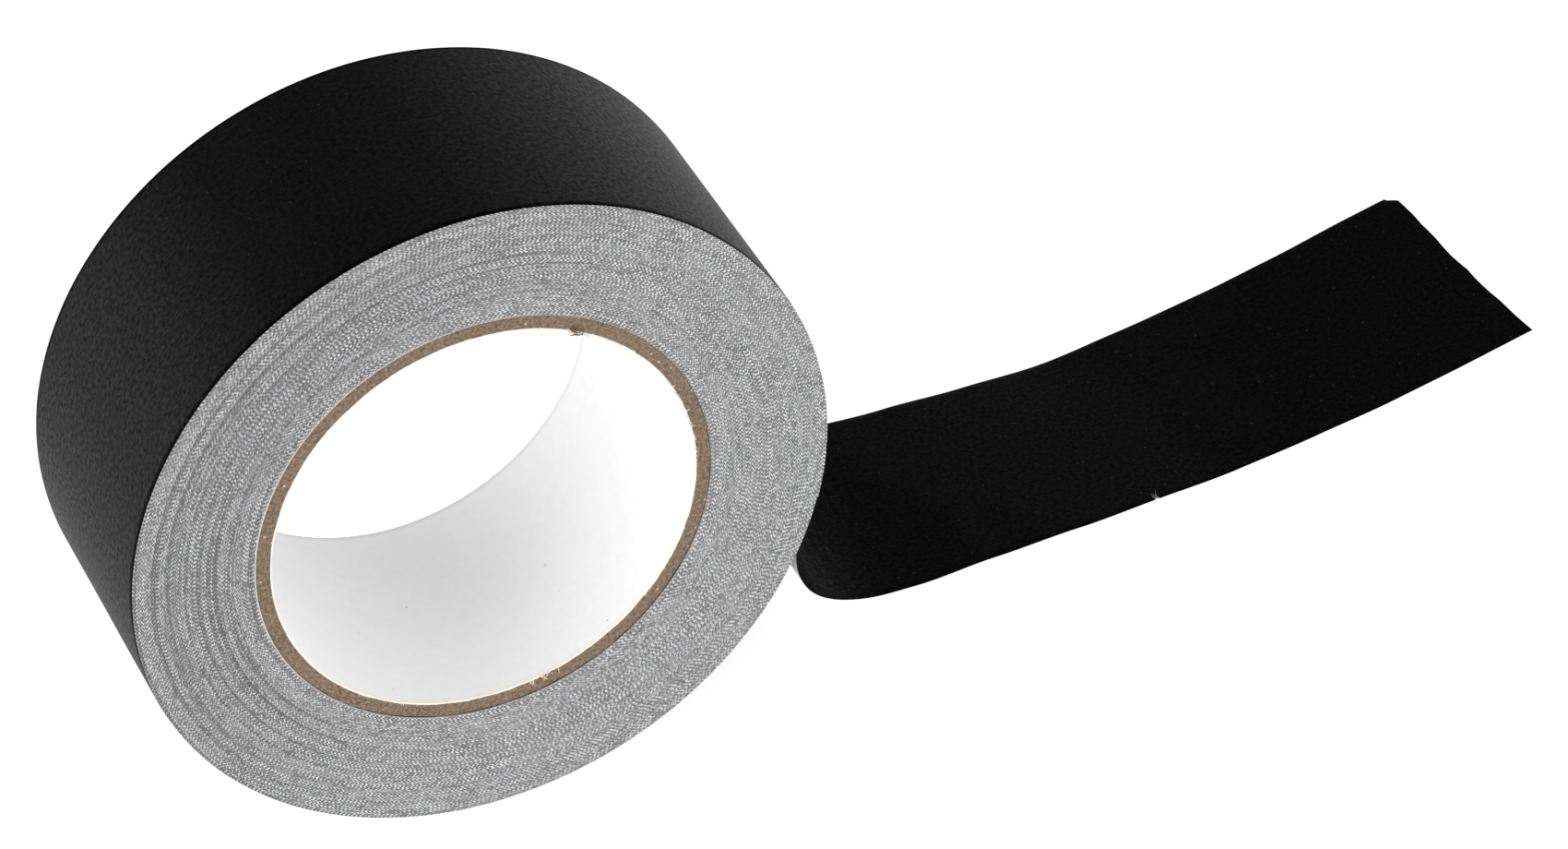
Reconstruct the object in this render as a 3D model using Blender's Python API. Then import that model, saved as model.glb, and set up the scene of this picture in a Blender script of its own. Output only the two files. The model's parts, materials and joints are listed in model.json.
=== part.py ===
"""A roll of duct tape standing on its rim, with a short free end peeled off at the lower right.

The roll's axis is parallel to Y and its front side face looks towards -Y. The free end of the tape comes over
the top, goes down the right side, leaves the roll at the lower right in a tight bend and lies along +X with
its black side up. The origin is under the middle of the whole object, on the surface that it stands on.

The free end is one flexible strip, cut here into short rigid links with a hinge between each two.
"""

import math
from typing import NamedTuple

import bmesh
import bpy
from mathutils import Vector

# Driving dimensions, in metres and degrees
TAPE_WIDTH = 0.0495
TAPE_THICKNESS = 0.00028
ROLL_RADIUS = 0.0627  # to the outside of the tape, where the free end leaves it
CORE_OUTER_RADIUS = 0.04105
CORE_INNER_RADIUS = 0.0381  # a 3 inch core
LINER_THICKNESS = 0.0003
PLY_COUNT = 5
LAYER_GAP = 0.00008  # between the layers of the core, and between turns of tape

# The board plies are wound in a helix, each turned a little further round than the one inside it
PLY_STRIP_WIDTH = 0.085
PLY_SEAM_STEP = 135.0
PLY_SEAM_GAP = 0.0003
LINER_SEAM_START = 200.0

# Where the free end leaves the roll, as an angle about the axis from +X, anticlockwise from the front
PEEL_ANGLE = -34.1
PEEL_HEADING = -97.9  # the strip's direction just after that, from +X
PEEL_CLEARANCE = 0.0006  # from the first hinge to the first link, which swings through a wide angle
HINGE_GAP = 0.0003
# Each link's name, its arcs, and how far its front edge stands above its middle at the end of it: the strip is
# slightly twisted, and its back edge lies on the table. An arc is a length and how far it turns anticlockwise
FREE_LINKS = (
    ("tape_bend_1", ((0.004, 8.8), (0.006, 30.0)), 0.0),
    ("tape_bend_2", ((0.005, 25.9), (0.006, 11.9)), 0.0),
    ("tape_bend_3", ((0.002, 3.9), (0.008, 8.7)), 0.00035),
    ("tape_tail_1", ((0.016, 1.9),), 0.00125),
    ("tape_tail_2", ((0.016, -1.2),), 0.0019),
    ("tape_tail_3", ((0.016, 4.0),), 0.00245),
    ("tape_tail_4", ((0.016, 4.5),), 0.0019),
    ("tape_tail_5", ((0.016, 1.4),), 0.0016),
    ("tape_tail_6", ((0.016, 2.9),), 0.0012),
    ("tape_tail_7", ((0.016, 1.9),), 0.0009),
    ("tape_tail_8", ((0.011, -0.9),), 0.00075),
)

# Facets
ROLL_FACETS = 64
CORE_FACETS = 72
SMALLEST_FACET = 0.5  # degrees
LINK_FACET_TURN = 6.0  # degrees
LINK_ROWS = 2  # along a link, at least
LINK_COLUMNS = 4  # across it
MERGE_DISTANCE = 0.000001
SHARP_ANGLE = 30.0

# Each material's colour and roughness
COLOURS = {
    "tape_film": ((0.012, 0.012, 0.013), 0.55),
    "tape_edges": ((0.40, 0.40, 0.39), 0.9),
    "kraft_board": ((0.27, 0.18, 0.11), 0.9),
    "liner_paper": ((0.80, 0.80, 0.79), 0.8),
}


def direction(degrees):
    """The unit vector in the XZ plane at this angle from +X, anticlockwise as seen from the front."""
    return Vector((math.cos(math.radians(degrees)), 0.0, math.sin(math.radians(degrees))))


def clear_scene():
    for old in list(bpy.data.objects):
        bpy.data.objects.remove(old)


def make_material(name):
    colour, roughness = COLOURS[name]
    material = bpy.data.materials.new(name)
    material.use_nodes = True
    shader = material.node_tree.nodes["Principled BSDF"]
    shader.inputs["Base Color"].default_value = (*colour, 1.0)
    shader.inputs["Roughness"].default_value = roughness
    shader.inputs["Metallic"].default_value = 0.0
    return material


def add_object(name, bm, material, place, parent=None):
    """A mesh object made from bm, with its origin at place, given from its parent's origin."""
    mesh = bpy.data.meshes.new(name)
    bm.to_mesh(mesh)
    bm.free()
    mesh.materials.append(material)
    mesh.shade_smooth()
    made = bpy.data.objects.new(name, mesh)
    bpy.context.scene.collection.objects.link(made)
    made.parent = parent
    made.location = place
    return made


def thicken(made, thickness, offset):
    """Gives an open surface its thickness: offset -1 puts it all behind the surface, 0 half on each side."""
    solidify = made.modifiers.new("Thickness", "SOLIDIFY")
    solidify.thickness = thickness
    solidify.offset = offset
    solidify.use_even_offset = True
    made.data.set_sharp_from_angle(angle=math.radians(SHARP_ANGLE))


def grid_surface(rows):
    """An open surface through rows of points, all of one length."""
    bm = bmesh.new()
    grid = [[bm.verts.new(point) for point in row] for row in rows]
    for low, high in zip(grid, grid[1:]):
        for k in range(len(low) - 1):
            bm.faces.new((low[k], low[k + 1], high[k + 1], high[k]))
    return bm


def swept_strip(profile, lifts, columns):
    """A surface as wide as the tape, over a profile in the XZ plane, facing left of it.

    At each point of the profile its front edge is raised by a lift, and its back edge lowered as much.
    """
    rows = []
    for column in range(columns + 1):
        across = 2 * column / columns - 1  # from -1 at the front edge to 1 at the back
        rows.append([p + Vector((0.0, TAPE_WIDTH / 2, -lift)) * across for p, lift in zip(profile, lifts)])
    return grid_surface(rows)


def roll_angles():
    """Where the roll's facets meet, from the peel line anticlockwise all the way round to just before it.

    They are placed so that the roll stands on the middle of a facet.
    """
    step = 360.0 / ROLL_FACETS
    end = PEEL_ANGLE + 360.0 - math.degrees(HINGE_GAP / ROLL_RADIUS)
    half_steps = [-90.0 + step * (k + 0.5) for k in range(2 * ROLL_FACETS)]
    between = [a for a in half_steps if PEEL_ANGLE + SMALLEST_FACET < a < end - SMALLEST_FACET]
    return [PEEL_ANGLE] + between + [end]


def spiral_radius(angle, depth):
    """The radius of the tape's outer side at this angle on the outermost turn, less depth."""
    return ROLL_RADIUS - TAPE_THICKNESS * (angle - PEEL_ANGLE) / 360.0 - depth


def stand_height():
    """The height of the roll's axis, with the lowest corner of its outermost turn at zero."""
    return max(-(direction(a) * spiral_radius(a, 0.0)).z for a in roll_angles())


def outer_turn(material, place):
    """The outermost turn: a strip in a spiral that ends a hinge's gap short of the peel line."""
    first = PEEL_ANGLE + math.degrees(HINGE_GAP / 2 / ROLL_RADIUS)
    angles = [first] + roll_angles()[1:]
    profile = [direction(a) * spiral_radius(a, 0.0) for a in reversed(angles)]
    made = add_object("tape_outer_turn", swept_strip(profile, [0.0] * len(profile), 1), material, place)
    thicken(made, TAPE_THICKNESS, -1.0)


def tape_pack(material, place):
    """All the turns under the outermost one, as a ring. Its rim follows the spiral, with a step at the peel line."""
    angles = roll_angles()
    depth = TAPE_THICKNESS + LAYER_GAP
    front = Vector((0.0, -TAPE_WIDTH / 2, 0.0))
    bm = bmesh.new()
    rim = [bm.verts.new(direction(a) * spiral_radius(a, depth) + front) for a in angles]
    bore = [bm.verts.new(direction(a) * CORE_OUTER_RADIUS + front) for a in angles]
    for k in range(len(angles)):
        after = (k + 1) % len(angles)
        bm.faces.new((rim[k], rim[after], bore[after], bore[k]))
    extruded = bmesh.ops.extrude_face_region(bm, geom=bm.faces[:])
    moved = [part for part in extruded["geom"] if isinstance(part, bmesh.types.BMVert)]
    bmesh.ops.translate(bm, verts=moved, vec=(0.0, TAPE_WIDTH, 0.0))
    bmesh.ops.recalc_face_normals(bm, faces=bm.faces[:])
    made = add_object("tape_pack", bm, material, place)
    made.data.set_sharp_from_angle(angle=math.radians(SHARP_ANGLE))


def helical_ply(name, inner_radius, thickness, seam_start, material, place):
    """One layer of the core, drawn flat and rolled up. Its two edges meet in a butt seam that runs round in a helix."""
    outer_radius = inner_radius + thickness
    helix = math.asin(PLY_STRIP_WIDTH / (math.tau * outer_radius))
    step = math.tau * outer_radius / CORE_FACETS
    half = TAPE_WIDTH / 2
    bm = grid_surface([[Vector((step * k, y, 0.0)) for k in range(CORE_FACETS + 1)] for y in (-half, half)])
    # the slit between the strip's two edges, which cuts the flat layer from its front side to its back
    along = Vector((1.0, math.tan(helix), 0.0)).normalized()
    across = Vector((-along.y, along.x, 0.0))
    middle = Vector((math.tau * outer_radius / 2, 0.0, 0.0))
    for side in (-1, 1):
        bmesh.ops.bisect_plane(
            bm,
            geom=bm.verts[:] + bm.edges[:] + bm.faces[:],
            plane_co=middle + across * (side * PLY_SEAM_GAP / 2),
            plane_no=across,
        )
    slit = [f for f in bm.faces if abs((f.calc_center_median() - middle).dot(across)) < PLY_SEAM_GAP / 2]
    bmesh.ops.delete(bm, geom=slit, context="FACES")
    for vert in bm.verts:
        angle = math.degrees(vert.co.x / outer_radius) + seam_start
        vert.co = direction(angle) * outer_radius + Vector((0.0, vert.co.y, 0.0))
    bmesh.ops.remove_doubles(bm, verts=bm.verts[:], dist=MERGE_DISTANCE)
    bmesh.ops.reverse_faces(bm, faces=bm.faces[:])
    made = add_object(name, bm, material, place)
    thicken(made, thickness, -1.0)


def core(materials, place):
    """The white liner and the board plies round it, which fill the roll out to the tape's first turn."""
    helical_ply(
        "core_liner", CORE_INNER_RADIUS, LINER_THICKNESS, LINER_SEAM_START, materials["liner_paper"], place
    )
    board = CORE_INNER_RADIUS + LINER_THICKNESS + LAYER_GAP
    pitch = (CORE_OUTER_RADIUS - board) / PLY_COUNT
    for k in range(PLY_COUNT):
        helical_ply(
            f"core_ply_{k + 1}",
            board + pitch * k,
            pitch - LAYER_GAP,
            LINER_SEAM_START + PLY_SEAM_STEP * (k + 1),
            materials["kraft_board"],
            place,
        )


class Link(NamedTuple):
    """One rigid piece of the free end, placed by the hinge at its start, which is measured from the roll's axis."""

    name: str
    hinge: Vector
    heading: float
    arcs: tuple
    start_lift: float
    end_lift: float

    def length(self):
        return sum(length for length, _ in self.arcs)

    def turn(self):
        return sum(turn for _, turn in self.arcs)

    def point(self, along):
        """A point on the link, from its hinge."""
        place, heading = Vector((0.0, 0.0, 0.0)), self.heading
        for length, turn in self.arcs:
            part = min(along, length)
            half_turned = math.radians(turn * part / length) / 2
            chord = part * math.sin(half_turned) / half_turned if part else 0.0
            place = place + direction(heading + math.degrees(half_turned)) * chord
            heading += turn * part / length
            along -= part
        return place

    def lift(self, along):
        return self.start_lift + (self.end_lift - self.start_lift) * along / self.length()

    def stops(self, first, last):
        """Places along the link from first to last, with a small enough turn between one and the next."""
        places, start = [first], 0.0
        for length, turn in self.arcs:
            low, high = max(start, first), min(start + length, last)
            count = max(LINK_ROWS, math.ceil(abs(turn) / LINK_FACET_TURN))
            places += [low + (high - low) * (k + 1) / count for k in range(count)]
            start += length
        return places


def free_links():
    """The free end's links from the peel line to the tip."""
    hinge = direction(PEEL_ANGLE) * (ROLL_RADIUS - TAPE_THICKNESS / 2)
    heading, lift = PEEL_HEADING, 0.0
    links = []
    for name, arcs, end_lift in FREE_LINKS:
        link = Link(name, hinge, heading, arcs, lift, end_lift)
        links.append(link)
        hinge = hinge + link.point(link.length())
        heading += link.turn()
        lift = end_lift
    return links


def free_end(links, material, place):
    """The strip's free end: each link has its origin on the hinge that joins it to the one before."""
    parent, parent_hinge = None, -place
    for link in links:
        first = PEEL_CLEARANCE if link is links[0] else HINGE_GAP / 2
        last = link.length() if link is links[-1] else link.length() - HINGE_GAP / 2
        stops = link.stops(first, last)
        bm = swept_strip([link.point(s) for s in stops], [link.lift(s) for s in stops], LINK_COLUMNS)
        bmesh.ops.triangulate(bm, faces=bm.faces[:], quad_method="FIXED")
        made = add_object(link.name, bm, material, link.hinge - parent_hinge, parent)
        thicken(made, TAPE_THICKNESS, 0.0)
        parent, parent_hinge = made, link.hinge


def main():
    clear_scene()
    materials = {name: make_material(name) for name in COLOURS}
    links = free_links()
    left = min((direction(a) * spiral_radius(a, 0.0)).x for a in roll_angles())
    right = (links[-1].hinge + links[-1].point(links[-1].length())).x
    # the middle of the object, free end and all, is over the origin
    place = Vector((-(left + right) / 2, 0.0, stand_height()))
    free_end(links, materials["tape_film"], place)
    outer_turn(materials["tape_film"], place)
    tape_pack(materials["tape_edges"], place)
    core(materials, place)


main()
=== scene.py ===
"""The looks of the duct tape roll: a wound roll of black cloth tape on a board core, its end peeled off.

The CAD model is the frame. Every visible surface is made here on top of it: the wound edge of the tape as
one spiral of turns, the black film on the outermost turn, the free end as a strip in pieces, one across
each joint, the board plies of the core with their torn fibres, and the white paper liner.

Sizes are in metres, in the row frame: +Z is up, the roll's axis runs along Y and its front faces -Y.
"""

import json
import math
import random

import bpy
from mathutils import Matrix, Vector, noise


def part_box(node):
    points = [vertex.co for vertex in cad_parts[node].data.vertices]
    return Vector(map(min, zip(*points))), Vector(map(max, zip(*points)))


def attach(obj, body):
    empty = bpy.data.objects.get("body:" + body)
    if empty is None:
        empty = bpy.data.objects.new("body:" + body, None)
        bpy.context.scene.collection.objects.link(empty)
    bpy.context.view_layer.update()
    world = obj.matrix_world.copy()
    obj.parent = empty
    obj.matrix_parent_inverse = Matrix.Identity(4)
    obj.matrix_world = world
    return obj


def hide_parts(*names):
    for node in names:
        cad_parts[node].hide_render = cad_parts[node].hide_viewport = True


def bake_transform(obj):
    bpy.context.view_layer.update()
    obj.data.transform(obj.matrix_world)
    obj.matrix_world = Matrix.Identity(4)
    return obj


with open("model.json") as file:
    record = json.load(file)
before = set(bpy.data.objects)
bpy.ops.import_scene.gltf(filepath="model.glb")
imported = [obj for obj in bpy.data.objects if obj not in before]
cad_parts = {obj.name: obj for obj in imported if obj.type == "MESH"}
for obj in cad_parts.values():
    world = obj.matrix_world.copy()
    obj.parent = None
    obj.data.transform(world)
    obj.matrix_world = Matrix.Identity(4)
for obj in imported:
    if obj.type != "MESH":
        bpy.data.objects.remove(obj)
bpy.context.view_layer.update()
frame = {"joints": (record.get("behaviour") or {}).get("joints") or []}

# ---------------------------------------------------------------- sizes and places from the frame

JOINTS = frame["joints"]
PEEL_JOINT = next(joint for joint in JOINTS if joint["name"] == "peel")

LINER_LOW, LINER_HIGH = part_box("core_liner")
AXIS = (LINER_LOW + LINER_HIGH) / 2
HALF_WIDTH = (LINER_HIGH.y - LINER_LOW.y) / 2
LINER_RADIUS = (LINER_HIGH.x - LINER_LOW.x) / 2
CORE_RADIUS = (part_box("core_ply_5")[1].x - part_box("core_ply_5")[0].x) / 2
TIP_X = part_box("tape_tail_8")[1].x

TAPE_THICKNESS = 0.00028
LINER_THICKNESS = 0.0003
FILM_THICKNESS = 0.00006
PLY_COUNT = 5
PLY_GAP = 0.00001  # between two plies of the board
FLOOR_CLEARANCE = 0.00002

PEEL_PLACE = Vector(PEEL_JOINT["pos_m"]) - AXIS
PEEL_ANGLE = math.atan2(PEEL_PLACE.z, PEEL_PLACE.x)
ROLL_RADIUS = PEEL_PLACE.length + TAPE_THICKNESS / 2
TURNS = 77
TURN_PITCH = (ROLL_RADIUS - CORE_RADIUS) / TURNS
OUTERMOST_SHORTFALL = 0.0006  # how much shorter the outermost turn is than the roll's rim
STUCK_LENGTH = 0.012  # of the free end's first piece that lies on the roll, before the peel line
NICK_PLACE = 0.0785  # along the free end from the peel line
BEND_SHARE = 0.85  # how much of the way from a hinge to the nearer end of its piece free_end measures; nothing is bent by it

YARN_PITCH = 0.00082  # between the cloth's yarns
YARN_SLANT = 0.55  # how far the cut yarns slant from one turn to the next, in yarn pitches
YARN_DRIFT = 3.0  # how far the yarns wander, in yarn pitches
WEAVE_SCALE = 0.157 / YARN_PITCH  # of a wave texture whose bands are two yarns apart
STREAK_LENGTH = 0.009  # of the paler and darker stretches of a turn

# Mesh steps
TURN_SEGMENTS = 720
ALONG_STEP = 0.00024
CORE_SEGMENTS = 720
EDGE_COLUMNS = (0.0, 0.00012, 0.0004, 0.0009, 0.0015, 0.0022)  # from a side edge of the tape inwards
MIDDLE_COLUMNS = 16
SHARP_ANGLE = 50.0  # degrees

SHADE = {}  # the materials by name


# ---------------------------------------------------------------- small helpers


def smooth(low, high, value):
    """0 below low, 1 above high, and a smooth step between them."""
    t = min(max((value - low) / (high - low), 0.0), 1.0)
    return t * t * (3 - 2 * t)


def rough(*place):
    """Smooth noise from about -1 to 1 at a place of one to three numbers."""
    return noise.noise(Vector((*place, 0.0, 0.0)[:3]))


def around(angle, radius, y):
    """A point at this angle and radius about the roll's axis."""
    return Vector((AXIS.x + radius * math.cos(angle), y, AXIS.z + radius * math.sin(angle)))


def spread_columns():
    """Places across the tape from the front edge to the back, closer together towards the edges."""
    inner = HALF_WIDTH - EDGE_COLUMNS[-1]
    front = [-HALF_WIDTH + inset for inset in EDGE_COLUMNS[:-1]]
    middle = [-inner + 2 * inner * k / MIDDLE_COLUMNS for k in range(MIDDLE_COLUMNS + 1)]
    return front + middle + [-y for y in reversed(front)]


def make_piece(name, points, faces, materials, face_materials=None, uvs=None):
    """A smooth-shaded mesh object. uvs holds a (u, v) for each corner of each face, in the faces' order."""
    mesh = bpy.data.meshes.new(name)
    mesh.from_pydata(points, [], faces)
    for material in materials:
        mesh.materials.append(SHADE[material])
    if face_materials:
        mesh.polygons.foreach_set("material_index", face_materials)
    if uvs:
        layer = mesh.uv_layers.new(name="tape")
        layer.data.foreach_set("uv", [value for uv in uvs for value in uv])
    mesh.shade_smooth()
    mesh.set_sharp_from_angle(angle=math.radians(SHARP_ANGLE))
    mesh.update()
    piece = bpy.data.objects.new(name, mesh)
    bpy.context.scene.collection.objects.link(piece)
    return piece


def set_attribute(piece, name, values):
    """Stores one number for each point of a piece, for its material to read."""
    piece.data.attributes.new(name, "FLOAT", "POINT").data.foreach_set("value", values)


# ---------------------------------------------------------------- materials


def new_material(name, roughness, specular):
    material = bpy.data.materials.new(name)
    material.use_nodes = True
    shader = material.node_tree.nodes["Principled BSDF"]
    shader.inputs["Roughness"].default_value = roughness
    shader.inputs["Specular IOR Level"].default_value = specular
    SHADE[name] = material
    return material.node_tree, shader


def node(tree, kind, settings=None, **sockets):
    """Adds a node. A socket given as another node's output is linked, and anything else is its value."""
    made = tree.nodes.new(f"ShaderNode{kind}")
    for key, value in (settings or {}).items():
        setattr(made, key, value)
    for key, value in sockets.items():
        socket = made.inputs[int(key[1:])] if key[1:].isdigit() else made.inputs[key.replace("_", " ")]
        if isinstance(value, bpy.types.NodeSocket):
            tree.links.new(value, socket)
        else:
            socket.default_value = value
    return made


def math_node(tree, operation, first, second=0.0):
    return node(tree, "Math", {"operation": operation}, i0=first, i1=second).outputs[0]


def plus(tree, first, second):
    return math_node(tree, "ADD", first, second)


def times(tree, first, second):
    return math_node(tree, "MULTIPLY", first, second)


def ramp(tree, value, low, high, out_low=0.0, out_high=1.0):
    """Maps value from low..high to out_low..out_high with a smooth step."""
    made = node(
        tree,
        "MapRange",
        {"interpolation_type": "SMOOTHSTEP"},
        i0=value,
        i1=low,
        i2=high,
        i3=out_low,
        i4=out_high,
    )
    return made.outputs[0]


def mix_colour(tree, factor, first, second):
    """Mixes two colours, each three numbers or another node's output."""
    made = tree.nodes.new("ShaderNodeMix")
    made.data_type = "RGBA"
    for index, value in ((0, factor), (6, first), (7, second)):
        if isinstance(value, bpy.types.NodeSocket):
            tree.links.new(value, made.inputs[index])
        elif index:
            made.inputs[index].default_value = (*value, 1.0)
        else:
            made.inputs[index].default_value = value
    return made.outputs[2]


def grain(tree, place, size, detail=3.0, roughness=0.5):
    """Noise with blobs of about this size in metres."""
    made = node(tree, "TexNoise", Vector=place, Scale=1 / size, Detail=detail, Roughness=roughness)
    return made.outputs["Fac"]


def stretched(tree, place, scale):
    """The place, scaled by three factors."""
    return node(tree, "VectorMath", {"operation": "MULTIPLY"}, i0=place, i1=scale).outputs[0]


def bump(tree, shader, height, distance, strength=1.0):
    made = node(tree, "Bump", Height=height, Distance=distance, Strength=strength)
    tree.links.new(made.outputs["Normal"], shader.inputs["Normal"])


def spots(tree, cells, channel, edge, chance):
    """Round spots, from 0 to 1, in a few of a Voronoi texture's cells.

    edge is where a spot ends and where it is full, as distances from its cell's middle. chance is the range
    of the cell's random number, in this channel of its colour, over which its spot appears.
    """
    number = node(tree, "SeparateColor", Color=cells.outputs["Color"]).outputs[channel]
    return times(tree, ramp(tree, cells.outputs["Distance"], *edge), ramp(tree, number, *chance))


def weave_bands(tree, place, distortion):
    """The bands of the cloth's yarns, first those across the tape and then those along it."""
    return [
        node(
            tree,
            "TexWave",
            {"bands_direction": direction},
            Vector=place,
            Scale=WEAVE_SCALE,
            Distortion=distortion,
        ).outputs["Fac"]
        for direction in "XY"
    ]


def yarn_ends(tree, place):
    """The cut yarns as stripes in a zigzag along the turns, each with its own strength, and their rows.

    place holds the distance along the tape in metres and the turn that the point is on.
    """
    parts = node(tree, "SeparateXYZ", Vector=place)
    zigzag = math_node(tree, "PINGPONG", parts.outputs[1], 1.0)
    drift = times(tree, grain(tree, place, 3.0, 2.0), YARN_DRIFT)
    bend = plus(tree, times(tree, zigzag, YARN_SLANT), drift)
    along = plus(tree, math_node(tree, "DIVIDE", parts.outputs[0], YARN_PITCH), bend)
    wave = math_node(tree, "SINE", times(tree, along, math.tau))
    cells = node(tree, "CombineXYZ", X=along, Y=times(tree, parts.outputs[1], 0.9))
    found = node(
        tree,
        "TexVoronoi",
        {"voronoi_dimensions": "2D", "feature": "F1"},
        Vector=cells.outputs[0],
        Scale=1.0,
        Randomness=0.8,
    )
    chance = node(tree, "SeparateColor", Color=found.outputs["Color"]).outputs[0]
    stripe = times(tree, ramp(tree, wave, -0.7, 0.8), ramp(tree, chance, 0.0, 0.8, 0.25, 1.0))
    return stripe, ramp(tree, zigzag, 0.0, 0.35)


def tape_edge_material():
    """The wound edge: pale yarn ends in grey adhesive, with painted shade where a turn lies deeper than its
    neighbours.
    """
    tree, shader = new_material("tape_edges", 0.85, 0.2)
    place = node(tree, "UVMap", {"uv_map": "tape"}).outputs[0]
    spot = node(tree, "TexCoord").outputs["Object"]
    stripe, row = yarn_ends(tree, place)
    fuzz = grain(tree, spot, 0.00035, 4.0, 0.65)
    light = plus(tree, times(tree, stripe, 0.62), times(tree, fuzz, 0.5))
    light = times(tree, light, ramp(tree, row, 0.0, 1.0, 0.72, 1.0))
    yarn = mix_colour(tree, ramp(tree, light, 0.18, 0.92), (0.100, 0.101, 0.104), (0.860, 0.862, 0.868))
    streak = grain(tree, stretched(tree, place, (1 / STREAK_LENGTH, 0.8, 0.0)), 1.0, 2.0)
    yarn = mix_colour(tree, ramp(tree, streak, 0.35, 0.65, 0.42, 0.0), yarn, (0.13, 0.13, 0.133))
    cloudy = grain(tree, spot, 0.006, 2.0)
    yarn = mix_colour(tree, ramp(tree, cloudy, 0.4, 0.7, 0.0, 0.25), yarn, (0.36, 0.36, 0.365))
    # Painted shade: on the deeper turns, in the grooves, over the upper left of the front face, and on the
    # last turn's rim across from it.
    painted_shade = node(tree, "Attribute", {"attribute_name": "painted_shade"}).outputs["Fac"]
    colour = mix_colour(tree, painted_shade, yarn, (0.070, 0.070, 0.073))
    # pale: a painted highlight on the last turn's rim at the upper left, and the real pale colour of the
    # pulled threads.
    pale = node(tree, "Attribute", {"attribute_name": "pale"}).outputs["Fac"]
    colour = mix_colour(tree, pale, colour, (0.66, 0.63, 0.60))
    tree.links.new(colour, shader.inputs["Base Color"])
    bump(tree, shader, light, 0.00012, 0.6)


def film_material():
    """Black polyethylene film over cloth: satin, with the weave just showing, pits and a little dust."""
    tree, shader = new_material("tape_film", 0.55, 0.16)
    place = node(tree, "UVMap", {"uv_map": "tape"}).outputs[0]
    fine = grain(tree, place, 0.0009, 3.0, 0.7)
    broad = grain(tree, place, 0.012, 3.0)
    deep = (0.0008, 0.0008, 0.0008)
    colour = mix_colour(tree, ramp(tree, fine, 0.35, 0.75), deep, (0.0032, 0.0032, 0.0033))
    colour = mix_colour(tree, ramp(tree, broad, 0.4, 0.7, 0.0, 0.5), colour, (0.0026, 0.0026, 0.0027))
    cells = node(tree, "TexVoronoi", {"voronoi_dimensions": "2D"}, Vector=place, Scale=1 / 0.0024)
    dust = spots(tree, cells, 1, (0.1, 0.04), (0.8, 0.95))
    colour = mix_colour(tree, dust, colour, (0.030, 0.030, 0.029))
    pit = spots(tree, cells, 2, (0.14, 0.05), (0.72, 0.9))
    colour = mix_colour(tree, pit, colour, deep)
    tree.links.new(colour, shader.inputs["Base Color"])
    tree.links.new(ramp(tree, fine, 0.2, 0.8, 0.58, 0.40), shader.inputs["Roughness"])
    pressed = node(tree, "Attribute", {"attribute_name": "pressed"}).outputs["Fac"]
    sheen = times(tree, ramp(tree, pressed, 0.0, 1.0, 1.0, 0.1), ramp(tree, fine, 0.34, 0.66, 0.042, 0.104))
    tree.links.new(sheen, shader.inputs["Specular IOR Level"])
    across, along = weave_bands(tree, place, 0.6)
    height = plus(tree, times(tree, times(tree, across, along), 0.35), fine)
    height = math_node(tree, "SUBTRACT", height, times(tree, pit, 1.5))
    bump(tree, shader, height, 0.00003, 0.55)


def adhesive_material():
    """The sticky side: pale grey adhesive with the cloth's grid of yarns under it."""
    tree, shader = new_material("tape_adhesive", 0.35, 0.45)
    place = node(tree, "UVMap", {"uv_map": "tape"}).outputs[0]
    across, along = weave_bands(tree, place, 0.8)
    grid = math_node(tree, "MAXIMUM", across, along)
    smear = grain(tree, place, 0.004, 4.0)
    colour = mix_colour(tree, ramp(tree, grid, 0.55, 0.95), (0.34, 0.345, 0.35), (0.50, 0.50, 0.505))
    colour = mix_colour(tree, ramp(tree, smear, 0.4, 0.7, 0.0, 0.5), colour, (0.40, 0.40, 0.405))
    tree.links.new(colour, shader.inputs["Base Color"])
    tree.links.new(ramp(tree, smear, 0.3, 0.7, 0.28, 0.5), shader.inputs["Roughness"])
    bump(tree, shader, plus(tree, grid, smear), 0.00008, 0.7)


def board_material():
    """Kraft board, cut through: brown, with short fibres, pale and dark flecks, and darker glue lines."""
    tree, shader = new_material("kraft_board", 0.92, 0.15)
    spot = node(tree, "TexCoord").outputs["Object"]
    pulp = grain(tree, spot, 0.0006, 5.0, 0.7)
    broad = grain(tree, spot, 0.008, 3.0)
    colour = mix_colour(tree, ramp(tree, pulp, 0.3, 0.75), (0.080, 0.052, 0.032), (0.330, 0.245, 0.175))
    colour = mix_colour(tree, ramp(tree, broad, 0.35, 0.7, 0.0, 0.3), colour, (0.240, 0.180, 0.130))
    cells = node(tree, "TexVoronoi", {"voronoi_dimensions": "3D"}, Vector=spot, Scale=1 / 0.0009)
    pale = spots(tree, cells, 0, (0.32, 0.12), (0.90, 0.97))
    dark = spots(tree, cells, 1, (0.32, 0.12), (0.86, 0.96))
    colour = mix_colour(tree, pale, colour, (0.60, 0.52, 0.42))
    colour = mix_colour(tree, dark, colour, (0.045, 0.026, 0.018))
    glue = node(tree, "Attribute", {"attribute_name": "glue"}).outputs["Fac"]
    colour = mix_colour(tree, glue, colour, (0.075, 0.044, 0.028))
    tree.links.new(colour, shader.inputs["Base Color"])
    bump(tree, shader, pulp, 0.00015, 0.7)


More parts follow.
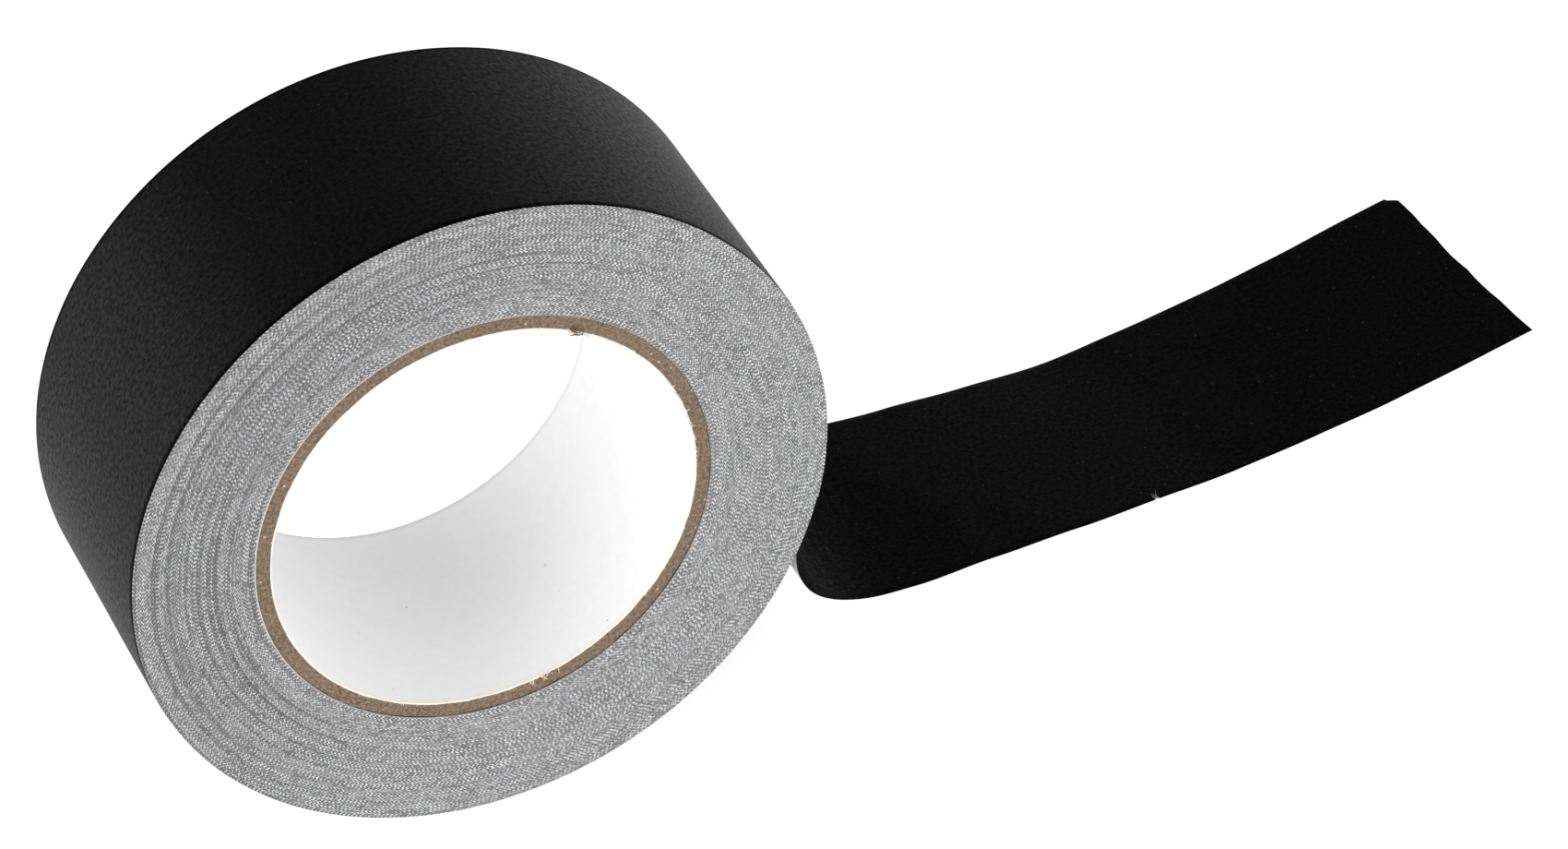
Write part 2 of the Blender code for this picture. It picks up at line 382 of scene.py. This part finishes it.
def liner_material():
    """White paper with a faint mottle, going cream and fibrous where it is cut at its front end, and a thin
    grey line of painted shade along its back end.
    """
    tree, shader = new_material("liner_paper", 0.72, 0.3)
    spot = node(tree, "TexCoord").outputs["Object"]
    mottle = grain(tree, spot, 0.0016, 5.0, 0.6)
    colour = mix_colour(tree, ramp(tree, mottle, 0.3, 0.7), (0.855, 0.856, 0.859), (0.880, 0.880, 0.882))
    cells = node(tree, "TexVoronoi", {"voronoi_dimensions": "3D"}, Vector=spot, Scale=1 / 0.0035)
    speck = spots(tree, cells, 0, (0.09, 0.04), (0.8, 0.95))
    colour = mix_colour(tree, speck, colour, (0.55, 0.53, 0.50))
    torn = node(tree, "Attribute", {"attribute_name": "torn"}).outputs["Fac"]
    colour = mix_colour(tree, torn, colour, (0.84, 0.80, 0.68))
    # Painted shade: a thin grey line along the liner's back end.
    painted_edge_shade = node(tree, "Attribute", {"attribute_name": "painted_edge_shade"}).outputs["Fac"]
    colour = mix_colour(tree, painted_edge_shade, colour, (0.42, 0.42, 0.42))
    tree.links.new(colour, shader.inputs["Base Color"])
    bump(tree, shader, mottle, 0.00004, 0.5)


def make_materials():
    tape_edge_material()
    film_material()
    adhesive_material()
    board_material()
    liner_material()


# ---------------------------------------------------------------- the wound edge


SUNK_TURNS = (13, 22, 33, 41, 52, 60)  # turns that lie deeper than their neighbours, from the outside
SUNK_SPREAD = 1.1  # of each, in turns
SUNK_DEPTH = 0.00007
GROOVE_DEPTH = 0.00005  # of the groove between two turns


def dark_side(angle):
    """The painted shade of the rings, seams and side face is strongest at the upper left of the front, and
    faint across from it.
    """
    return 0.2 + 0.8 * smooth(-0.3, 0.9, math.cos(angle - math.radians(145)))


def sunk_amount(turn, angle):
    """How far this turn lies deeper than its neighbours, from 0 to 1, which also sets the painted shade on
    its ring.
    """
    wander = 1.6 * rough(turn * 0.31, 1.3 * math.cos(angle), 1.3 * math.sin(angle))
    ring = max(math.exp(-(((turn + wander - centre) / SUNK_SPREAD) ** 2)) for centre in SUNK_TURNS)
    return ring * dark_side(angle)


def seam_amount(turn, angle):
    """How much painted shade lies in the groove beside this turn. The seams are broken, and each turn has
    its own.
    """
    return smooth(0.0, 0.5, rough(turn * 4.3, 0.37)) * dark_side(angle)


def turn_height(turn, angle):
    """How far this turn's edge lies inside the roll's side plane."""
    uneven = 0.00004 * (1 + rough(turn * 0.9, math.cos(angle), math.sin(angle)))
    return uneven + SUNK_DEPTH * sunk_amount(turn, angle)


def spiral_angle(k):
    """The angle at step k of the spiral that runs inwards, anticlockwise from the peel line."""
    return PEEL_ANGLE + math.tau * k / TURN_SEGMENTS


def spiral_radius(k):
    return max(ROLL_RADIUS - TURN_PITCH * k / TURN_SEGMENTS, CORE_RADIUS)


def spiral_length(k):
    """The length of tape from the peel line to step k."""
    turned = math.tau * k / TURN_SEGMENTS
    return ROLL_RADIUS * turned - TURN_PITCH * turned * turned / (2 * math.tau)


def wound_face(side, first_point):
    """One side face of the wound turns: for each turn a groove, then a crest.

    side is -1 for the front and 1 for the back, and first_point the number of the face's first point.
    """
    first = TURN_SEGMENTS  # the outermost turn is a piece of its own
    last = TURN_SEGMENTS * TURNS
    points, painted_shade, pale, faces, uvs = [], [], [], [], []
    for k in range(first, last + TURN_SEGMENTS + 1):
        angle, turn = spiral_angle(k), k / TURN_SEGMENTS
        depth = turn_height(turn, angle)
        crest_radius = max(spiral_radius(k) - TURN_PITCH / 2, CORE_RADIUS)
        points.append(around(angle, spiral_radius(k), side * (HALF_WIDTH - depth - GROOVE_DEPTH)))
        points.append(around(angle, crest_radius, side * (HALF_WIDTH - depth)))
        # Painted shade on the deeper rings, in the grooves, and over the upper left of the front face.
        ring = sunk_amount(turn, angle)
        shade = 0.12 * dark_side(angle)
        painted_shade += [min(0.6 * ring + 0.8 * seam_amount(turn, angle) + shade, 1.0), 0.32 * ring + shade]
        # The last turn's rim gets a painted highlight at the upper left of the front, and painted shade
        # across from it.
        last_turn = smooth(TURNS - 1.2, TURNS - 0.2, turn)
        pale += [last_turn * dark_side(angle)] * 2
        painted_shade[-2:] = [max(amount, 0.95 * last_turn * (1 - dark_side(angle))) for amount in painted_shade[-2:]]
    for k in range(first, last):
        here, there = first_point + 2 * (k - first), first_point + 2 * (k - first + TURN_SEGMENTS)
        turn = k // TURN_SEGMENTS
        u0, u1 = spiral_length(k), spiral_length(k + 1)
        rows = ((here, here + 2, here + 3, here + 1), (here + 1, here + 3, there + 2, there))
        for row, quad in enumerate(rows):
            v0, v1 = turn + row / 2, turn + row / 2 + 0.5
            corners = [(u0, v0), (u1, v0), (u1, v1), (u0, v1)]
            if side > 0:
                quad, corners = quad[::-1], corners[::-1]
            faces.append(quad)
            uvs += corners
    return points, painted_shade, pale, faces, uvs


def wound_turns():
    """All the turns under the outermost one."""
    points, painted_shade, pale, faces, uvs = [], [], [], [], []
    for side in (-1, 1):
        for whole, part in zip((points, painted_shade, pale, faces, uvs), wound_face(side, len(points))):
            whole += part
    piece = make_piece("tape_wound_turns", points, faces, ["tape_edges"], uvs=uvs)
    set_attribute(piece, "painted_shade", painted_shade)
    set_attribute(piece, "pale", pale)
    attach(piece, "roll")
    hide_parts("tape_pack")


# ---------------------------------------------------------------- the outermost turn and the free end


class Run:
    """The middle line of the strip's free end, as a smooth curve through the joints, and how it is twisted.

    Distances along it start at the peel line. At negative distances, before it, the strip lies on the roll.
    """

    def __init__(self):
        knots = [Vector(joint["pos_m"]) for joint in JOINTS]
        last = knots[-1] - knots[-2]
        rise = last.z / last.x
        knots.append(knots[-1] + Vector((1.0, 0.0, rise)) * (TIP_X - knots[-1].x))
        self.knots = knots
        self.lifts = [HALF_WIDTH * joint["axis"][2] / -joint["axis"][1] for joint in JOINTS]
        self.lifts.append(self.lifts[-1])
        self.places = [0.0]
        for before, after in zip(knots, knots[1:]):
            self.places.append(self.places[-1] + (after - before).length)
        self.length = self.places[-1]
        tangent = Vector((math.sin(PEEL_ANGLE), 0.0, -math.cos(PEEL_ANGLE)))
        self.slopes = self.solve_slopes((tangent + (knots[1] - knots[0]).normalized()).normalized())

    def solve_slopes(self, first_slope):
        """The tangents at the knots of the smooth curve with this first slope, by the Thomas algorithm."""
        count = len(self.knots)
        steps = [b - a for a, b in zip(self.places, self.places[1:])]
        chords = [(b - a) / step for a, b, step in zip(self.knots, self.knots[1:], steps)]
        upper, right = [0.0], [first_slope]
        for k in range(1, count):
            if k < count - 1:
                low, middle, high = steps[k], 2 * (steps[k - 1] + steps[k]), steps[k - 1]
                target = 3 * (steps[k] * chords[k - 1] + steps[k - 1] * chords[k])
            else:
                low, middle, high, target = 1.0, 2.0, 0.0, 3 * chords[-1]
            scale = middle - low * upper[-1]
            upper.append(high / scale)
            right.append((target - low * right[-1]) / scale)
        slopes = [right[-1]]
        for k in range(count - 2, -1, -1):
            slopes.append(right[k] - upper[k] * slopes[-1])
        return slopes[::-1]

    def middle(self, along):
        """The point and the unit direction of the middle line."""
        if along < 0:
            turned = -along / ROLL_RADIUS
            angle = PEEL_ANGLE + turned
            radius = ROLL_RADIUS - TURN_PITCH * turned / math.tau - TAPE_THICKNESS / 2
            return around(angle, radius, 0.0), Vector((math.sin(angle), 0.0, -math.cos(angle)))
        k = max(i for i in range(len(self.places) - 1) if i == 0 or self.places[i] <= along)
        step = self.places[k + 1] - self.places[k]
        t = (along - self.places[k]) / step
        a, b = self.knots[k], self.knots[k + 1]
        ta, tb = self.slopes[k] * step, self.slopes[k + 1] * step
        place = (
            (2 * t**3 - 3 * t**2 + 1) * a
            + (t**3 - 2 * t**2 + t) * ta
            + (3 * t**2 - 2 * t**3) * b
            + (t**3 - t**2) * tb
        )
        slope = (
            (6 * t**2 - 6 * t) * a
            + (3 * t**2 - 4 * t + 1) * ta
            + (6 * t - 6 * t**2) * b
            + (3 * t**2 - 2 * t) * tb
        )
        return place, slope.normalized()

    def lift(self, along):
        """How far the front edge stands above the middle line."""
        if along <= 0:
            return 0.0
        k = max(i for i in range(len(self.places) - 1) if self.places[i] <= along)
        t = smooth(self.places[k], self.places[k + 1], along)
        return self.lifts[k] + (self.lifts[k + 1] - self.lifts[k]) * t

    def point(self, along, y, above):
        """A point at y across the strip, this far above its middle surface on the film's side."""
        place, heading = self.middle(along)
        normal = Vector((-heading.z, 0.0, heading.x))
        return place + Vector((0.0, y, -self.lift(along) * y / HALF_WIDTH)) + normal * above


def yarn_bulge(along, side):
    """How far the cut yarns stand out of the tape's side edge here."""
    beat = 0.5 + 0.5 * math.cos(math.tau * along / YARN_PITCH + 1.5 * rough(along * 500, side))
    return 0.00004 + 0.00008 * beat * (0.6 + 0.8 * abs(rough(along * 2600, side * 7.3)))


def edge_fall(y):
    """How far the film is pressed down towards its two edges."""
    inset = HALF_WIDTH - abs(y)
    return 0.00007 * (1 - smooth(0.0, 0.0011, inset)) + 0.00004 * (1 - smooth(0.0, 0.0002, inset))


def pressed(along, y):
    """How dull the film is here: on the roll in a band along its edges, and on the free end all over."""
    edge = 1 - smooth(0.0004, 0.0014, HALF_WIDTH - abs(y))
    return edge + (0.6 - edge) * smooth(-0.002, 0.006, along)


def ripple(along, y):
    """The slight unevenness of the film."""
    return 0.00003 * rough(along * 90, y * 60) + 0.00001 * rough(along * 600, y * 600)


def nicked(along, y):
    """The place across the strip, moved inwards where the near edge has a small nick."""
    depth = 0.00045 * max(0.0, 1 - abs(along - NICK_PLACE) / 0.0005)
    return y + depth * (1 - smooth(0.0, 0.0012, y + HALF_WIDTH))


STRIP_MATERIALS = ["tape_film", "tape_edges", "tape_adhesive"]
FILM, EDGES, ADHESIVE = range(3)  # their numbers on each piece of the strip


def strip_ring(run, along, columns):
    """The points round the strip at one place: its film, back edge, adhesive and front edge.

    along holds each column's distance along the strip.
    """
    film = [
        run.point(s, nicked(s, y), TAPE_THICKNESS / 2 - edge_fall(y) + ripple(s, y))
        for s, y in zip(along, columns)
    ]
    under = [run.point(s, nicked(s, y), -TAPE_THICKNESS / 2) for s, y in zip(along, columns)]
    back = run.point(along[-1], HALF_WIDTH + yarn_bulge(along[-1], 1), -FILM_THICKNESS / 2)
    front_y = nicked(along[0], -HALF_WIDTH - yarn_bulge(along[0], -1))
    front = run.point(along[0], front_y, -FILM_THICKNESS / 2)
    return film + [back] + under[::-1] + [front]


def end_caps(column_count, ring_size, last_ring):
    """The faces that close the strip's two ends. last_ring is the number of its last ring's first point."""
    caps = []
    for base, flip in ((0, False), (last_ring, True)):
        last = column_count - 1
        cap = [
            (base + j, base + j + 1, base + ring_size - 3 - j, base + ring_size - 2 - j) for j in range(last)
        ]
        cap.append((base + last, base + last + 1, base + last + 2))
        cap.append((base + ring_size - 2, base + ring_size - 1, base))
        caps += [face[::-1] if flip else face for face in cap]
    return caps


def strip_piece(name, run, start, end, side_edges, end_cut=None):
    """A piece of the strip as a closed solid: film on top, adhesive below and side_edges at both sides.

    end_cut(y) is how much shorter than end the strip is at y.
    """
    columns = spread_columns()
    ring_y = columns + [HALF_WIDTH] + columns[::-1] + [-HALF_WIDTH]
    last, size = len(columns) - 1, len(ring_y)
    count = max(4, math.ceil((end - start) / ALONG_STEP))
    steps = [start + (end - start) * i / count for i in range(count + 1)]
    reach = [end - (end_cut(y) if end_cut else 0.0) for y in columns]
    points = []
    for i in range(count + 1):
        points += strip_ring(run, [start + (far - start) * i / count for far in reach], columns)
    for point in points:
        point.z = max(point.z, FLOOR_CLEARANCE)

    faces, face_materials, uvs = [], [], []
    for i, (u0, u1) in enumerate(zip(steps, steps[1:])):
        a, b = i * size, (i + 1) * size
        for j in range(size):
            after = (j + 1) % size
            faces.append((a + j, b + j, b + after, a + after))
            is_film, is_adhesive = j < last, last + 2 <= j < size - 2
            face_materials.append(FILM if is_film else ADHESIVE if is_adhesive else side_edges)
            if is_film or is_adhesive or side_edges == FILM:
                v0, v1 = ring_y[j], ring_y[after]
            else:
                v0 = 0.0 if j in (last, size - 2) else 0.5
                v1 = v0 + 0.5
            uvs += [(u0, v0), (u1, v0), (u1, v1), (u0, v1)]
    for face in end_caps(len(columns), size, count * size):
        faces.append(face)
        face_materials.append(EDGES)
        uvs += [(0.0, 0.0), (0.001, 0.0), (0.001, 0.5), (0.0, 0.5)][: len(face)]
    piece = make_piece(name, points, faces, STRIP_MATERIALS, face_materials, uvs)
    set_attribute(piece, "pressed", [pressed(along, y) for along in steps for y in ring_y])
    return piece


def outermost_turn(run):
    """The outermost turn, from the peel line all the way round the roll to just before it."""
    length = math.tau * ROLL_RADIUS - OUTERMOST_SHORTFALL
    piece = strip_piece("tape_outermost_turn", run, -length, -STUCK_LENGTH, EDGES)
    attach(piece, "roll")
    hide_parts("tape_outer_turn")


def tip_cut(y):
    """How far the cut end stands back at y: askew and bowed a little, with a nick at its back corner."""
    askew = 0.0016 * (y / HALF_WIDTH - 1) / 2
    bow = 0.0007 * (1 - (y / HALF_WIDTH) ** 2)
    nick = 0.0022 * smooth(HALF_WIDTH - 0.0026, HALF_WIDTH, y)
    return askew + bow + nick + 0.00012 * (1 + rough(y * 900)) + 0.00025 * (1 + rough(y * 160))


def free_end(run):
    """The free end: one piece of strip across each joint, from the middle of one rigid link to the next.

    The first piece starts on the roll, so that it runs across the peel line itself.
    """
    middles = [(a + b) / 2 for a, b in zip(run.places, run.places[1:])]
    starts = [-STUCK_LENGTH] + middles[:-1]
    ends = middles[:-1] + [run.length]
    for joint, hinge, start, end in zip(JOINTS, run.places, starts, ends):
        cut = tip_cut if joint is JOINTS[-1] else None
        piece = strip_piece(f"free_end_{joint['child']}", run, start, end, FILM, cut)
        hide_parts(f"tape_{joint['child']}")
        reach = BEND_SHARE * min(hinge - start, end - hinge)
        before, after = run.middle(max(hinge - reach, 0.0))[0], run.middle(hinge + reach)[0]
        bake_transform(piece)


# ---------------------------------------------------------------- loose fibres


def add_hair(points, faces, path, radius):
    """Adds a thin closed tube along a path, tapering to its end."""
    sides, last = 5, len(path) - 1
    first = len(points)
    for i, place in enumerate(path):
        heading = path[min(i + 1, last)] - path[max(i - 1, 0)]
        across = heading.orthogonal().normalized()
        beside = heading.cross(across).normalized()
        reach = radius * (1 - 0.7 * (i / last) ** 2)
        for k in range(sides):
            angle = math.tau * k / sides
            points.append(place + (across * math.cos(angle) + beside * math.sin(angle)) * reach)
    for i in range(last):
        a, b = first + i * sides, first + (i + 1) * sides
        for k in range(sides):
            after = (k + 1) % sides
            faces.append((a + k, a + after, b + after, b + k))
    faces.append(tuple(first + k for k in reversed(range(sides))))
    faces.append(tuple(first + last * sides + k for k in range(sides)))


def bent_path(start, heading, length, curl, chance, steps=6):
    """A wandering path from start."""
    path, heading = [start], heading.normalized()
    for _ in range(steps):
        turn = Vector((chance.uniform(-1, 1), chance.uniform(-1, 1), chance.uniform(-1, 1)))
        heading = (heading + turn * curl).normalized()
        path.append(path[-1] + heading * (length / steps))
    return path


# Where the core's front rim is torn: angle and spread in degrees, number of fibres and their length
TUFTS = (
    (54, 5, 30, 0.0019),
    (30, 60, 90, 0.0007),
    (14, 8, 26, 0.0013),
    (2, 6, 14, 0.0012),
    (-84, 6, 14, 0.0012),
    (-128, 9, 8, 0.0009),
)


def rim_tufts():
    """The torn paper fibres that stand out from the core's front rim."""
    chance = random.Random(7)
    points, faces = [], []
    for degrees, spread, count, length in TUFTS:
        for _ in range(count):
            angle = math.radians(degrees + chance.gauss(0, spread / 2))
            radial = Vector((math.cos(angle), 0.0, math.sin(angle)))
            along = Vector((-math.sin(angle), 0.0, math.cos(angle)))
            root = around(angle, LINER_RADIUS - chance.uniform(0.0, LINER_THICKNESS), -HALF_WIDTH + 0.00015)
            heading = radial * chance.uniform(-1.0, 0.4) + along * chance.uniform(-1, 1)
            heading += Vector((0, -0.7, 0))
            path = bent_path(root, heading, length * chance.uniform(0.5, 1.2), 0.35, chance)
            add_hair(points, faces, path, chance.uniform(0.00004, 0.00009))
    piece = make_piece("rim_tufts", points, faces, ["liner_paper"])
    set_attribute(piece, "torn", [0.8] * len(points))
    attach(piece, "roll")


SLIVER_ANGLE = 53.0  # degrees
SLIVER_COUNT = 7


def board_slivers():
    """A few slivers of brown board lifted from the front rim."""
    chance = random.Random(3)
    points, faces = [], []
    for _ in range(SLIVER_COUNT):
        angle = math.radians(SLIVER_ANGLE + chance.gauss(0, 1.6))
        along = Vector((-math.sin(angle), -0.5, math.cos(angle))) * chance.choice((-1, 1))
        root = around(angle, LINER_RADIUS + chance.uniform(-0.0004, 0.0004), -HALF_WIDTH + 0.0001)
        path = bent_path(root, along, chance.uniform(0.0012, 0.0028), 0.2, chance)
        add_hair(points, faces, path, chance.uniform(0.00014, 0.00024))
    piece = make_piece("board_slivers", points, faces, ["kraft_board"])
    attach(piece, "roll")


THREAD_COUNT = 7
THREADS_INWARDS = 5  # how many of them lie back over the film
THREAD_RADIUS = 0.000035


def nick_threads(run):
    """The yarn ends pulled out of the near edge at its nick."""
    chance = random.Random(5)
    points, faces = [], []
    for k in range(THREAD_COUNT):
        along = NICK_PLACE + chance.uniform(-0.0006, 0.0003)
        root = run.point(along, -HALF_WIDTH + 0.0003, TAPE_THICKNESS / 2)
        heading = Vector((chance.uniform(-0.6, 0.6), 1.0 if k < THREADS_INWARDS else -0.6, 0.12))
        path = bent_path(root, heading, chance.uniform(0.0006, 0.0016), 0.3, chance)
        add_hair(points, faces, path, THREAD_RADIUS)
    piece = make_piece("nick_threads", points, faces, ["tape_edges"])
    set_attribute(piece, "pale", [0.35] * len(points))
    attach(piece, "tail_3")


# ---------------------------------------------------------------- the core


def ring(name, inner, outer, materials, wobble, rows=3, wall_rows=1):
    """A ring about the roll's axis with uneven cut ends. Returns the piece and each point's radius.

    wobble(angle, radius, side) is how far the cut end stands back from the roll's side plane.
    """
    profile = [(inner + (outer - inner) * k / rows, -1) for k in range(rows + 1)]
    profile += [(outer, -1 + 2 * (k + 1) / (wall_rows + 1)) for k in range(wall_rows)]
    profile += [(outer - (outer - inner) * k / rows, 1) for k in range(rows + 1)]
    profile += [(inner, 1 - 2 * (k + 1) / (wall_rows + 1)) for k in range(wall_rows)]
    points, faces = [], []
    for i in range(CORE_SEGMENTS):
        angle = math.tau * i / CORE_SEGMENTS
        for radius, across in profile:
            reach = HALF_WIDTH - wobble(angle, radius, math.copysign(1, across))
            points.append(around(angle, radius, reach * across))
    size = len(profile)
    for i in range(CORE_SEGMENTS):
        a, b = i * size, (i + 1) % CORE_SEGMENTS * size
        for j in range(size):
            after = (j + 1) % size
            faces.append((a + j, b + j, b + after, a + after))
    piece = make_piece(name, points, faces, materials)
    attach(piece, "roll")
    return piece, [radius for _ in range(CORE_SEGMENTS) for radius, _ in profile]


GLUE_LINE = (0.00006, 0.35)  # how deep it soaks into a ply, and how dark it is from 0 to 1
LAST_GLUE_LINE = (0.00022, 0.9)  # the one between the board and the tape


def board_wobble(angle, radius, side):
    coarse = rough(9 * math.cos(angle), 9 * math.sin(angle), side + radius * 400)
    fine = rough(60 * math.cos(angle), 60 * math.sin(angle), side + radius * 2000)
    return 0.00012 * (1 + coarse) + 0.00006 * (1 + fine)


def board_plies():
    """The plies of the core's board, each a ring with a thin dark glue line round its outside."""
    pitch = (CORE_RADIUS - LINER_RADIUS) / PLY_COUNT
    for k in range(PLY_COUNT):
        inner = LINER_RADIUS + pitch * k
        outer = inner + pitch - PLY_GAP
        piece, radii = ring(f"board_ply_{k + 1}", inner, outer, ["kraft_board"], board_wobble, rows=4)
        depth, strength = LAST_GLUE_LINE if k == PLY_COUNT - 1 else GLUE_LINE
        set_attribute(piece, "glue", [smooth(outer - depth, outer, r) * strength for r in radii])
        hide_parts(f"core_ply_{k + 1}")


def liner_wobble(angle, radius, side):
    coarse = rough(14 * math.cos(angle), 14 * math.sin(angle), 5 * side)
    fine = rough(110 * math.cos(angle), 110 * math.sin(angle), 5 * side)
    return 0.00010 * (1 + coarse) + 0.00012 * (1 + fine)


def paper_liner():
    """The white liner, with a pale torn edge at the front end and a thin line of painted shade at the back
    end.
    """
    inner = LINER_RADIUS - LINER_THICKNESS
    piece, _ = ring("paper_liner", inner, LINER_RADIUS, ["liner_paper"], liner_wobble, rows=2, wall_rows=40)
    insets = [HALF_WIDTH - abs(vertex.co.y) for vertex in piece.data.vertices]
    is_front = [vertex.co.y < 0 for vertex in piece.data.vertices]
    near_end = [1 - smooth(0.0002, 0.0007, inset) for inset in insets]
    set_attribute(piece, "torn", [0.9 * near if front else 0.0 for near, front in zip(near_end, is_front)])
    # Painted shade along the back end.
    set_attribute(piece, "painted_edge_shade", [0.0 if front else 0.3 * near for near, front in zip(near_end, is_front)])
    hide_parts("core_liner")


# ---------------------------------------------------------------- camera, light and floor

CAMERA_PLACE = Vector((-0.2363, -0.7858, 0.7509))
CAMERA_RIGHT = Vector((0.90138, -0.40531, -0.15246))
CAMERA_UP = Vector((0.37695, 0.56111, 0.73693))
CAMERA_LENS = 142.5  # millimetres, on a sensor 36 mm wide
FLOOR_REACH = 6.0


def make_camera():
    camera = bpy.data.objects.new("camera", bpy.data.cameras.new("camera"))
    bpy.context.scene.collection.objects.link(camera)
    right = CAMERA_RIGHT.normalized()
    back = right.cross(CAMERA_UP).normalized()
    up = back.cross(right)
    turn = Matrix((right, up, back)).transposed()
    camera.matrix_world = Matrix.Translation(CAMERA_PLACE) @ turn.to_4x4()
    camera.data.lens = CAMERA_LENS
    camera.data.sensor_width = 36
    camera.data.clip_start = 0.05
    camera.data.clip_end = 20
    bpy.context.scene.camera = camera


def area_light(name, place, size, power):
    """A square soft light at this place from the roll's axis, aimed at the roll."""
    light = bpy.data.objects.new(name, bpy.data.lights.new(name, "AREA"))
    bpy.context.scene.collection.objects.link(light)
    light.location = AXIS + Vector(place)
    light.rotation_mode = "QUATERNION"
    light.rotation_quaternion = (-Vector(place)).to_track_quat("-Z", "Y")
    light.data.size = size
    light.data.energy = power


def make_light():
    """A white studio, dark behind and above the roll where the film mirrors it, and two soft lights."""
    world = bpy.data.worlds.new("studio")
    world.use_nodes = True
    tree = world.node_tree
    ways = node(tree, "SeparateXYZ", Vector=node(tree, "TexCoord").outputs["Generated"])
    behind = ramp(tree, ways.outputs[1], 0.15, 0.55)
    above = ramp(tree, ways.outputs[2], 0.24, 0.52)
    dark = times(tree, behind, above)
    left = ramp(tree, ways.outputs[0], -0.75, -0.3, 2.2, 1.0)
    overhead = ramp(tree, ways.outputs[2], 0.3, 1.0, 1.0, 0.75)
    strength = times(tree, times(tree, left, overhead), ramp(tree, dark, 0.0, 1.0, 1.0, 0.02))
    background = tree.nodes["Background"]
    background.inputs["Color"].default_value = (1.0, 1.0, 1.0, 1.0)
    tree.links.new(strength, background.inputs["Strength"])
    bpy.context.scene.world = world
    area_light("left_softbox", (-1.3, -1.1, 0.1), 1.0, 8.0)
    area_light("right_softbox", (0.9, -1.2, -0.02), 1.0, 6.5)


def make_floor():
    """A plain pale floor under the object."""
    mesh = bpy.data.meshes.new("floor")
    corners = [(x * FLOOR_REACH, y * FLOOR_REACH, 0) for x, y in ((-1, -1), (1, -1), (1, 1), (-1, 1))]
    mesh.from_pydata(corners, [], [(0, 1, 2, 3)])
    floor = bpy.data.objects.new("floor", mesh)
    bpy.context.scene.collection.objects.link(floor)
    _, shader = new_material("floor", 0.9, 0.0)
    shader.inputs["Base Color"].default_value = (0.32, 0.32, 0.32, 1.0)
    shader.inputs["Emission Color"].default_value = (1.0, 1.0, 1.0, 1.0)
    shader.inputs["Emission Strength"].default_value = 0.88
    mesh.materials.append(SHADE["floor"])


def main():
    bpy.context.scene.view_settings.view_transform = "Standard"
    make_camera()
    make_light()
    make_floor()
    make_materials()
    run = Run()
    wound_turns()
    outermost_turn(run)
    free_end(run)
    board_plies()
    paper_liner()
    rim_tufts()
    board_slivers()
    nick_threads(run)


main()
